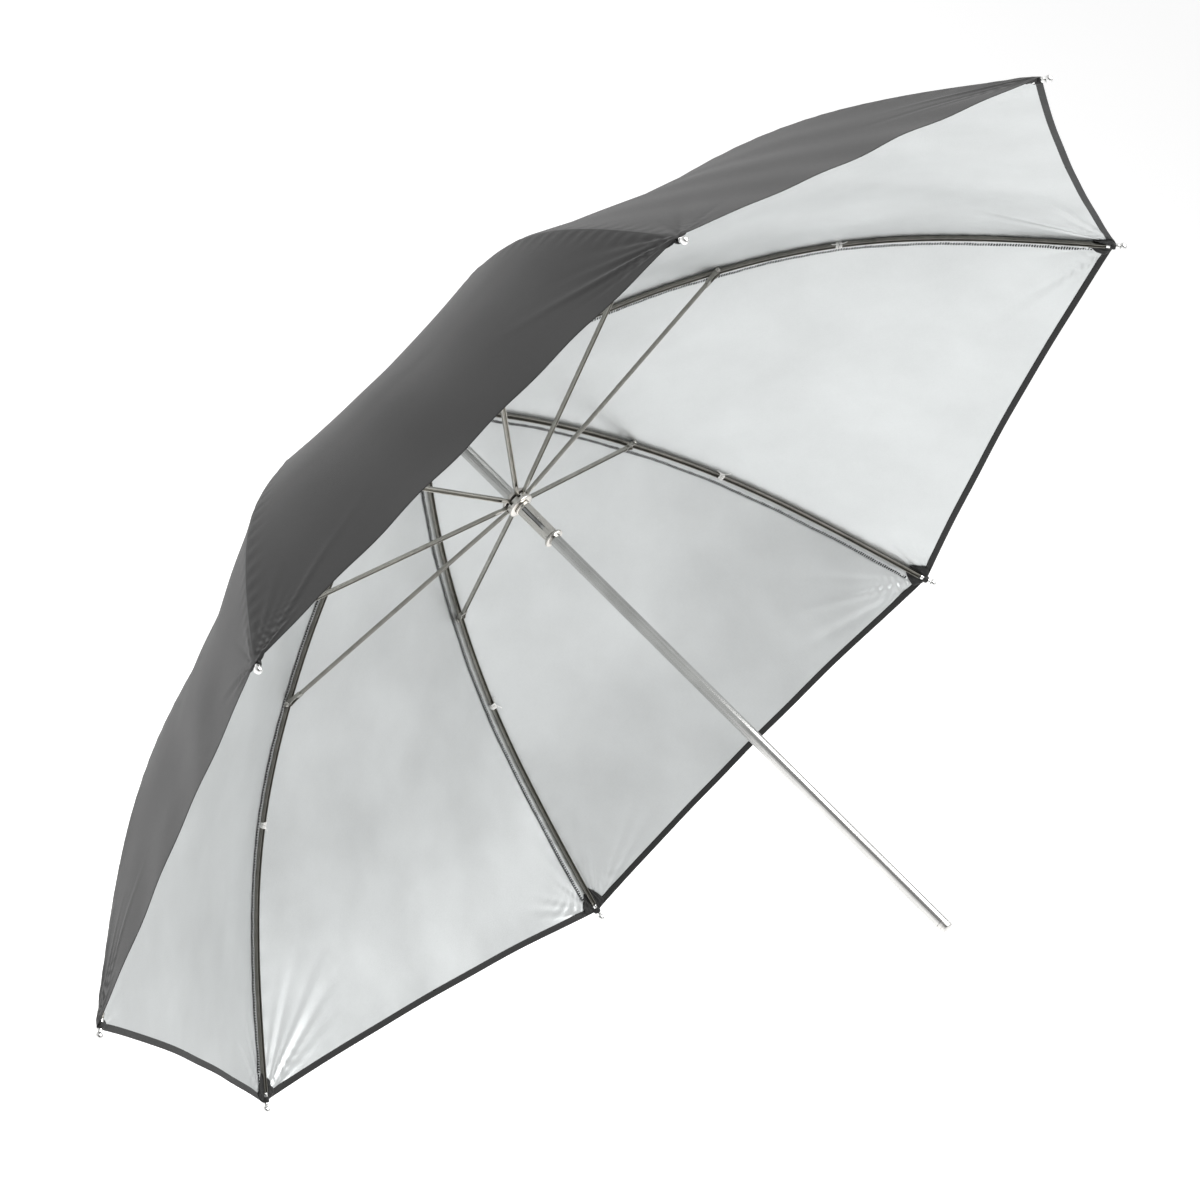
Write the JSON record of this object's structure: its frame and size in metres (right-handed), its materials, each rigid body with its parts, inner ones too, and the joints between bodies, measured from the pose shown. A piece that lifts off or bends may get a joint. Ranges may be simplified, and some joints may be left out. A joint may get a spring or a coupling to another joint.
{
  "type": "umbrella reflector",
  "caption": "Open photographic umbrella reflector with a silver inside, black outside, folding ribs and a bare steel shaft.",
  "frame": {"origin": "on the shaft's axis, 60 mm from its free end, in the middle of the stretch that an umbrella holder clamps", "axes": "+Y along the shaft from the free end to the apex, so the bowl opens towards -Y; +Z along rib 1, which points up; +X along rib 3"},
  "size_m": [0.8548, 0.4856, 0.8548],
  "materials": {
    "shaft": "polished",
    "end_cap": "polished",
    "nickel": "nickel plated",
    "rivet": "nickel plated",
    "frame_steel": "satin, olive-grey plated",
    "tip": "polished",
    "wire": "dark",
    "spring": "satin",
    "washer": "matte",
    "canopy_black": "coated black nylon, outside",
    "canopy_silver": "coated silver nylon, inside"
  },
  "bodies": {
    "root": {"shaft_tube": "shaft", "shaft_end_cap": "end_cap", "stop_pin": "nickel", "top_notch": "nickel", "top_notch_wire": "wire", "apex_washer": "washer", "apex_ferrule": "nickel"},
    "catch": {"catch_spring": "spring"},
    "runner": {"runner_crown": "nickel", "runner_crown_wire": "wire", "runner_sleeve": "nickel", "runner_flange": "nickel"},
    "rib_1": {"rib_1": "frame_steel", "rib_tip_1": "tip", "rib_rivet_1": "rivet"},
    "stretcher_1": {"stretcher_1": "frame_steel"},
    "half_12_on_rib_1": {"gore_12_on_rib_1": "canopy_black"},
    "half_81_on_rib_1": {"gore_81_on_rib_1": "canopy_black"},
    "rib_2": {"rib_2": "frame_steel", "rib_tip_2": "tip", "rib_rivet_2": "rivet"},
    "stretcher_2": {"stretcher_2": "frame_steel"},
    "half_23_on_rib_2": {"gore_23_on_rib_2": "canopy_black"},
    "half_12_on_rib_2": {"gore_12_on_rib_2": "canopy_black"},
    "rib_3": {"rib_3": "frame_steel", "rib_tip_3": "tip", "rib_rivet_3": "rivet"},
    "stretcher_3": {"stretcher_3": "frame_steel"},
    "half_34_on_rib_3": {"gore_34_on_rib_3": "canopy_black"},
    "half_23_on_rib_3": {"gore_23_on_rib_3": "canopy_black"},
    "rib_4": {"rib_4": "frame_steel", "rib_tip_4": "tip", "rib_rivet_4": "rivet"},
    "stretcher_4": {"stretcher_4": "frame_steel"},
    "half_45_on_rib_4": {"gore_45_on_rib_4": "canopy_black"},
    "half_34_on_rib_4": {"gore_34_on_rib_4": "canopy_black"},
    "rib_5": {"rib_5": "frame_steel", "rib_tip_5": "tip", "rib_rivet_5": "rivet"},
    "stretcher_5": {"stretcher_5": "frame_steel"},
    "half_56_on_rib_5": {"gore_56_on_rib_5": "canopy_black"},
    "half_45_on_rib_5": {"gore_45_on_rib_5": "canopy_black"},
    "rib_6": {"rib_6": "frame_steel", "rib_tip_6": "tip", "rib_rivet_6": "rivet"},
    "stretcher_6": {"stretcher_6": "frame_steel"},
    "half_67_on_rib_6": {"gore_67_on_rib_6": "canopy_black"},
    "half_56_on_rib_6": {"gore_56_on_rib_6": "canopy_black"},
    "rib_7": {"rib_7": "frame_steel", "rib_tip_7": "tip", "rib_rivet_7": "rivet"},
    "stretcher_7": {"stretcher_7": "frame_steel"},
    "half_78_on_rib_7": {"gore_78_on_rib_7": "canopy_black"},
    "half_67_on_rib_7": {"gore_67_on_rib_7": "canopy_black"},
    "rib_8": {"rib_8": "frame_steel", "rib_tip_8": "tip", "rib_rivet_8": "rivet"},
    "stretcher_8": {"stretcher_8": "frame_steel"},
    "half_81_on_rib_8": {"gore_81_on_rib_8": "canopy_black"},
    "half_78_on_rib_8": {"gore_78_on_rib_8": "canopy_black"}
  },
  "joints": [
    {"name": "umbrella_fold", "type": "hinge", "parent": "root", "child": "rib_1", "pos_m": [0, 0.4139, 0.0075], "axis": [1, 0, 0], "range_deg": [0, 62], "deforming": ["gore_12_on_rib_1", "gore_81_on_rib_1", "gore_23_on_rib_2", "gore_12_on_rib_2", "gore_34_on_rib_3", "gore_23_on_rib_3", "gore_45_on_rib_4", "gore_34_on_rib_4", "gore_56_on_rib_5", "gore_45_on_rib_5", "gore_67_on_rib_6", "gore_56_on_rib_6", "gore_78_on_rib_7", "gore_67_on_rib_7", "gore_81_on_rib_8", "gore_78_on_rib_8", "catch_spring"]},
    {"name": "stretcher_1_fold", "type": "hinge", "parent": "rib_1", "child": "stretcher_1", "pos_m": [0, 0.3703, 0.211], "axis": [-1, 0, 0], "range_deg": [0, 124]},
    {"name": "half_12_on_rib_1_fold", "type": "hinge", "parent": "rib_1", "child": "half_12_on_rib_1", "pos_m": [0, 0.4139, 0.0075], "axis": [0, -0.4301, 0.9028], "range_deg": [0, 90.01]},
    {"name": "half_81_on_rib_1_fold", "type": "hinge", "parent": "rib_1", "child": "half_81_on_rib_1", "pos_m": [0, 0.4139, 0.0075], "axis": [0, 0.4301, -0.9028], "range_deg": [0, 90.01]},
    {"name": "rib_2_fold", "type": "hinge", "parent": "root", "child": "rib_2", "pos_m": [0.0053, 0.4139, 0.0053], "axis": [0.7071, 0, -0.7071], "range_deg": [0, 62]},
    {"name": "stretcher_2_fold", "type": "hinge", "parent": "rib_2", "child": "stretcher_2", "pos_m": [0.1492, 0.3703, 0.1492], "axis": [-0.7071, 0, 0.7071], "range_deg": [0, 124]},
    {"name": "half_23_on_rib_2_fold", "type": "hinge", "parent": "rib_2", "child": "half_23_on_rib_2", "pos_m": [0.0053, 0.4139, 0.0053], "axis": [0.6384, -0.4301, 0.6384], "range_deg": [0, 90.01]},
    {"name": "half_12_on_rib_2_fold", "type": "hinge", "parent": "rib_2", "child": "half_12_on_rib_2", "pos_m": [0.0053, 0.4139, 0.0053], "axis": [-0.6384, 0.4301, -0.6384], "range_deg": [0, 90.01]},
    {"name": "rib_3_fold", "type": "hinge", "parent": "root", "child": "rib_3", "pos_m": [0.0075, 0.4139, 0], "axis": [0, 0, -1], "range_deg": [0, 62]},
    {"name": "stretcher_3_fold", "type": "hinge", "parent": "rib_3", "child": "stretcher_3", "pos_m": [0.211, 0.3703, 0], "axis": [0, 0, 1], "range_deg": [0, 124]},
    {"name": "half_34_on_rib_3_fold", "type": "hinge", "parent": "rib_3", "child": "half_34_on_rib_3", "pos_m": [0.0075, 0.4139, 0], "axis": [0.9028, -0.4301, 0], "range_deg": [0, 90.01]},
    {"name": "half_23_on_rib_3_fold", "type": "hinge", "parent": "rib_3", "child": "half_23_on_rib_3", "pos_m": [0.0075, 0.4139, 0], "axis": [-0.9028, 0.4301, 0], "range_deg": [0, 90.01]},
    {"name": "rib_4_fold", "type": "hinge", "parent": "root", "child": "rib_4", "pos_m": [0.0053, 0.4139, -0.0053], "axis": [-0.7071, 0, -0.7071], "range_deg": [0, 62]},
    {"name": "stretcher_4_fold", "type": "hinge", "parent": "rib_4", "child": "stretcher_4", "pos_m": [0.1492, 0.3703, -0.1492], "axis": [0.7071, 0, 0.7071], "range_deg": [0, 124]},
    {"name": "half_45_on_rib_4_fold", "type": "hinge", "parent": "rib_4", "child": "half_45_on_rib_4", "pos_m": [0.0053, 0.4139, -0.0053], "axis": [0.6384, -0.4301, -0.6384], "range_deg": [0, 90.01]},
    {"name": "half_34_on_rib_4_fold", "type": "hinge", "parent": "rib_4", "child": "half_34_on_rib_4", "pos_m": [0.0053, 0.4139, -0.0053], "axis": [-0.6384, 0.4301, 0.6384], "range_deg": [0, 90.01]},
    {"name": "rib_5_fold", "type": "hinge", "parent": "root", "child": "rib_5", "pos_m": [0, 0.4139, -0.0075], "axis": [-1, 0, 0], "range_deg": [0, 62]},
    {"name": "stretcher_5_fold", "type": "hinge", "parent": "rib_5", "child": "stretcher_5", "pos_m": [0, 0.3703, -0.211], "axis": [1, 0, 0], "range_deg": [0, 124]},
    {"name": "half_56_on_rib_5_fold", "type": "hinge", "parent": "rib_5", "child": "half_56_on_rib_5", "pos_m": [0, 0.4139, -0.0075], "axis": [0, -0.4301, -0.9028], "range_deg": [0, 90.01]},
    {"name": "half_45_on_rib_5_fold", "type": "hinge", "parent": "rib_5", "child": "half_45_on_rib_5", "pos_m": [0, 0.4139, -0.0075], "axis": [0, 0.4301, 0.9028], "range_deg": [0, 90.01]},
    {"name": "rib_6_fold", "type": "hinge", "parent": "root", "child": "rib_6", "pos_m": [-0.0053, 0.4139, -0.0053], "axis": [-0.7071, 0, 0.7071], "range_deg": [0, 62]},
    {"name": "stretcher_6_fold", "type": "hinge", "parent": "rib_6", "child": "stretcher_6", "pos_m": [-0.1492, 0.3703, -0.1492], "axis": [0.7071, 0, -0.7071], "range_deg": [0, 124]},
    {"name": "half_67_on_rib_6_fold", "type": "hinge", "parent": "rib_6", "child": "half_67_on_rib_6", "pos_m": [-0.0053, 0.4139, -0.0053], "axis": [-0.6384, -0.4301, -0.6384], "range_deg": [0, 90.01]},
    {"name": "half_56_on_rib_6_fold", "type": "hinge", "parent": "rib_6", "child": "half_56_on_rib_6", "pos_m": [-0.0053, 0.4139, -0.0053], "axis": [0.6384, 0.4301, 0.6384], "range_deg": [0, 90.01]},
    {"name": "rib_7_fold", "type": "hinge", "parent": "root", "child": "rib_7", "pos_m": [-0.0075, 0.4139, 0], "axis": [0, 0, 1], "range_deg": [0, 62]},
    {"name": "stretcher_7_fold", "type": "hinge", "parent": "rib_7", "child": "stretcher_7", "pos_m": [-0.211, 0.3703, 0], "axis": [0, 0, -1], "range_deg": [0, 124]},
    {"name": "half_78_on_rib_7_fold", "type": "hinge", "parent": "rib_7", "child": "half_78_on_rib_7", "pos_m": [-0.0075, 0.4139, 0], "axis": [-0.9028, -0.4301, 0], "range_deg": [0, 90.01]},
    {"name": "half_67_on_rib_7_fold", "type": "hinge", "parent": "rib_7", "child": "half_67_on_rib_7", "pos_m": [-0.0075, 0.4139, 0], "axis": [0.9028, 0.4301, 0], "range_deg": [0, 90.01]},
    {"name": "rib_8_fold", "type": "hinge", "parent": "root", "child": "rib_8", "pos_m": [-0.0053, 0.4139, 0.0053], "axis": [0.7071, 0, 0.7071], "range_deg": [0, 62]},
    {"name": "stretcher_8_fold", "type": "hinge", "parent": "rib_8", "child": "stretcher_8", "pos_m": [-0.1492, 0.3703, 0.1492], "axis": [-0.7071, 0, -0.7071], "range_deg": [0, 124]},
    {"name": "half_81_on_rib_8_fold", "type": "hinge", "parent": "rib_8", "child": "half_81_on_rib_8", "pos_m": [-0.0053, 0.4139, 0.0053], "axis": [-0.6384, -0.4301, 0.6384], "range_deg": [0, 90.01]},
    {"name": "half_78_on_rib_8_fold", "type": "hinge", "parent": "rib_8", "child": "half_78_on_rib_8", "pos_m": [-0.0053, 0.4139, 0.0053], "axis": [0.6384, 0.4301, -0.6384], "range_deg": [0, 90.01]},
    {"name": "runner_slide", "type": "hinge", "parent": "stretcher_1", "child": "runner", "pos_m": [0, 0.3267, 0.0075], "axis": [1, 0, 0], "range_deg": [0, 62]},
    {"name": "catch_press", "type": "hinge", "parent": "root", "child": "catch", "pos_m": [-0.0018, 0.277, 0.00075], "axis": [-0.3827, 0, -0.9239], "range_deg": [0, 2.6], "stiffness_Nm_per_rad": 3}
  ],
  "couplings": [
    {"joint": "stretcher_1_fold", "follows": "umbrella_fold", "ratio": 2},
    {"joint": "half_12_on_rib_1_fold", "follows": "umbrella_fold", "ratio": 1.4516},
    {"joint": "half_81_on_rib_1_fold", "follows": "umbrella_fold", "ratio": 1.4516},
    {"joint": "rib_2_fold", "follows": "umbrella_fold", "ratio": 1},
    {"joint": "stretcher_2_fold", "follows": "umbrella_fold", "ratio": 2},
    {"joint": "half_23_on_rib_2_fold", "follows": "umbrella_fold", "ratio": 1.4516},
    {"joint": "half_12_on_rib_2_fold", "follows": "umbrella_fold", "ratio": 1.4516},
    {"joint": "rib_3_fold", "follows": "umbrella_fold", "ratio": 1},
    {"joint": "stretcher_3_fold", "follows": "umbrella_fold", "ratio": 2},
    {"joint": "half_34_on_rib_3_fold", "follows": "umbrella_fold", "ratio": 1.4516},
    {"joint": "half_23_on_rib_3_fold", "follows": "umbrella_fold", "ratio": 1.4516},
    {"joint": "rib_4_fold", "follows": "umbrella_fold", "ratio": 1},
    {"joint": "stretcher_4_fold", "follows": "umbrella_fold", "ratio": 2},
    {"joint": "half_45_on_rib_4_fold", "follows": "umbrella_fold", "ratio": 1.4516},
    {"joint": "half_34_on_rib_4_fold", "follows": "umbrella_fold", "ratio": 1.4516},
    {"joint": "rib_5_fold", "follows": "umbrella_fold", "ratio": 1},
    {"joint": "stretcher_5_fold", "follows": "umbrella_fold", "ratio": 2},
    {"joint": "half_56_on_rib_5_fold", "follows": "umbrella_fold", "ratio": 1.4516},
    {"joint": "half_45_on_rib_5_fold", "follows": "umbrella_fold", "ratio": 1.4516},
    {"joint": "rib_6_fold", "follows": "umbrella_fold", "ratio": 1},
    {"joint": "stretcher_6_fold", "follows": "umbrella_fold", "ratio": 2},
    {"joint": "half_67_on_rib_6_fold", "follows": "umbrella_fold", "ratio": 1.4516},
    {"joint": "half_56_on_rib_6_fold", "follows": "umbrella_fold", "ratio": 1.4516},
    {"joint": "rib_7_fold", "follows": "umbrella_fold", "ratio": 1},
    {"joint": "stretcher_7_fold", "follows": "umbrella_fold", "ratio": 2},
    {"joint": "half_78_on_rib_7_fold", "follows": "umbrella_fold", "ratio": 1.4516},
    {"joint": "half_67_on_rib_7_fold", "follows": "umbrella_fold", "ratio": 1.4516},
    {"joint": "rib_8_fold", "follows": "umbrella_fold", "ratio": 1},
    {"joint": "stretcher_8_fold", "follows": "umbrella_fold", "ratio": 2},
    {"joint": "half_81_on_rib_8_fold", "follows": "umbrella_fold", "ratio": 1.4516},
    {"joint": "half_78_on_rib_8_fold", "follows": "umbrella_fold", "ratio": 1.4516},
    {"joint": "runner_slide", "follows": "umbrella_fold", "ratio": 1}
  ]
}
